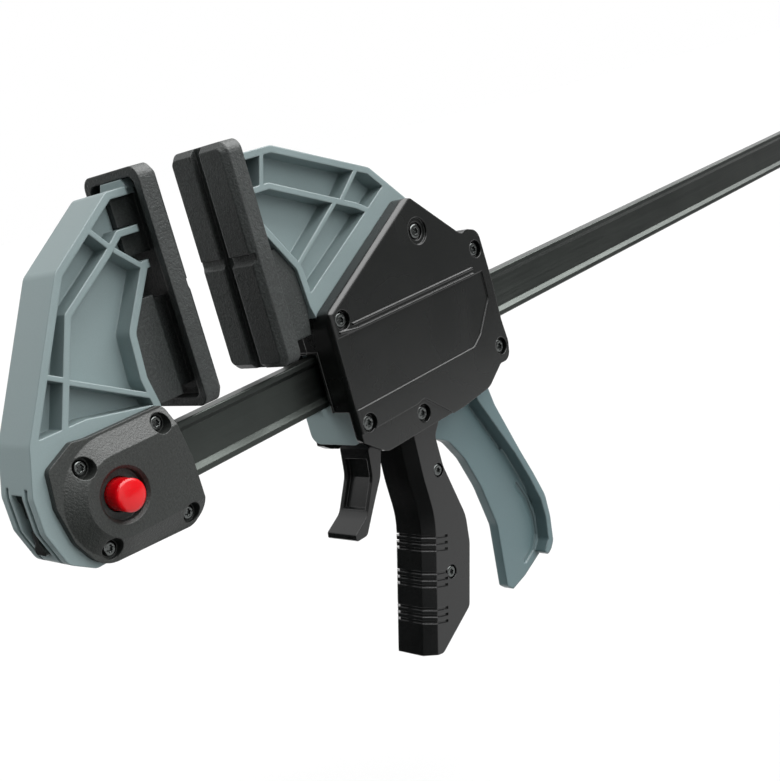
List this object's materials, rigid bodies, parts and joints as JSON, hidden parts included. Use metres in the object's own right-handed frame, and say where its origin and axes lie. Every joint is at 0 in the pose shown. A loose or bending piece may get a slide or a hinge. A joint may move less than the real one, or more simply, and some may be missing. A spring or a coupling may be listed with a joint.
{
  "type": "bar clamp",
  "caption": "One-handed quick release bar clamp with tall jaws and long pads, a squeeze lever, a release trigger and a push-button latch at the fixed jaw.",
  "frame": {"origin": "on the bar's axis, in the plane of the fixed pad's gripping face", "axes": "+X along the bar from the fixed jaw to the free end; +Z from the bar to the pad tips; -Y is the side with the button"},
  "size_m": [0.8558, 0.0433, 0.2529],
  "materials": {
    "black_steel": "satin black oxide",
    "jaw_resin": "satin grey glass-filled nylon",
    "pad_rubber": "matt dark grey, fine texture",
    "cover_plastic": "matt black, fine texture",
    "screw_steel": "dark oxide",
    "spring_steel": "bright wire",
    "button_plastic": "glossy red",
    "housing_plastic": "smooth black",
    "grip_plastic": "glossy black",
    "lever_resin": "satin grey glass-filled nylon",
    "plate_steel": "hardened, oiled"
  },
  "bodies": {
    "bar": {"bar": "black_steel", "fixed_jaw": "jaw_resin", "fixed_pad": "pad_rubber", "jaw_cover_near": "cover_plastic", "jaw_cover_far": "cover_plastic", "jaw_cover_screws": "screw_steel", "latch_spring": "spring_steel"},
    "button": {"release_button": "button_plastic"},
    "carriage": {"moving_jaw": "jaw_resin", "moving_pad": "pad_rubber", "housing_near": "housing_plastic", "housing_far": "housing_plastic", "housing_screws": "screw_steel", "handle_near": "grip_plastic", "handle_far": "grip_plastic", "handle_screws": "screw_steel", "lever_pin": "plate_steel", "brake_spring": "spring_steel", "drive_spring": "spring_steel"},
    "lever": {"squeeze_lever": "lever_resin"},
    "drive": {"drive_plates": "plate_steel"},
    "trigger": {"release_trigger": "grip_plastic", "brake_plate": "plate_steel"}
  },
  "joints": [
    {"name": "button_press", "type": "slide", "parent": "bar", "child": "button", "axis": [0, 1, 0], "range_m": [0, 0.0045], "stiffness_N_per_m": 1200, "springref_m": -0.003, "deforming": ["latch_spring"]},
    {"name": "carriage_slide", "type": "slide", "parent": "bar", "child": "carriage", "axis": [1, 0, 0], "range_m": [-0.0315, 0.568]},
    {"name": "lever_squeeze", "type": "hinge", "parent": "carriage", "child": "lever", "pos_m": [0.133, 0, -0.029], "axis": [0, 1, 0], "range_deg": [0, 28], "stiffness_Nm_per_rad": 1.5, "springref_deg": -8.59, "deforming": ["drive_spring"]},
    {"name": "drive_slide", "type": "slide", "parent": "carriage", "child": "drive", "axis": [1, 0, 0], "range_m": [0, 0.00586], "deforming": ["drive_spring"]},
    {"name": "trigger_pull", "type": "hinge", "parent": "carriage", "child": "trigger", "pos_m": [0.081, 0, 0.022], "axis": [0, -1, 0], "range_deg": [0, 6], "stiffness_Nm_per_rad": 3, "springref_deg": -2.86, "deforming": ["brake_spring"]}
  ],
  "couplings": [
    {"joint": "drive_slide", "follows": "lever_squeeze", "m_per_rad": 0.012}
  ]
}
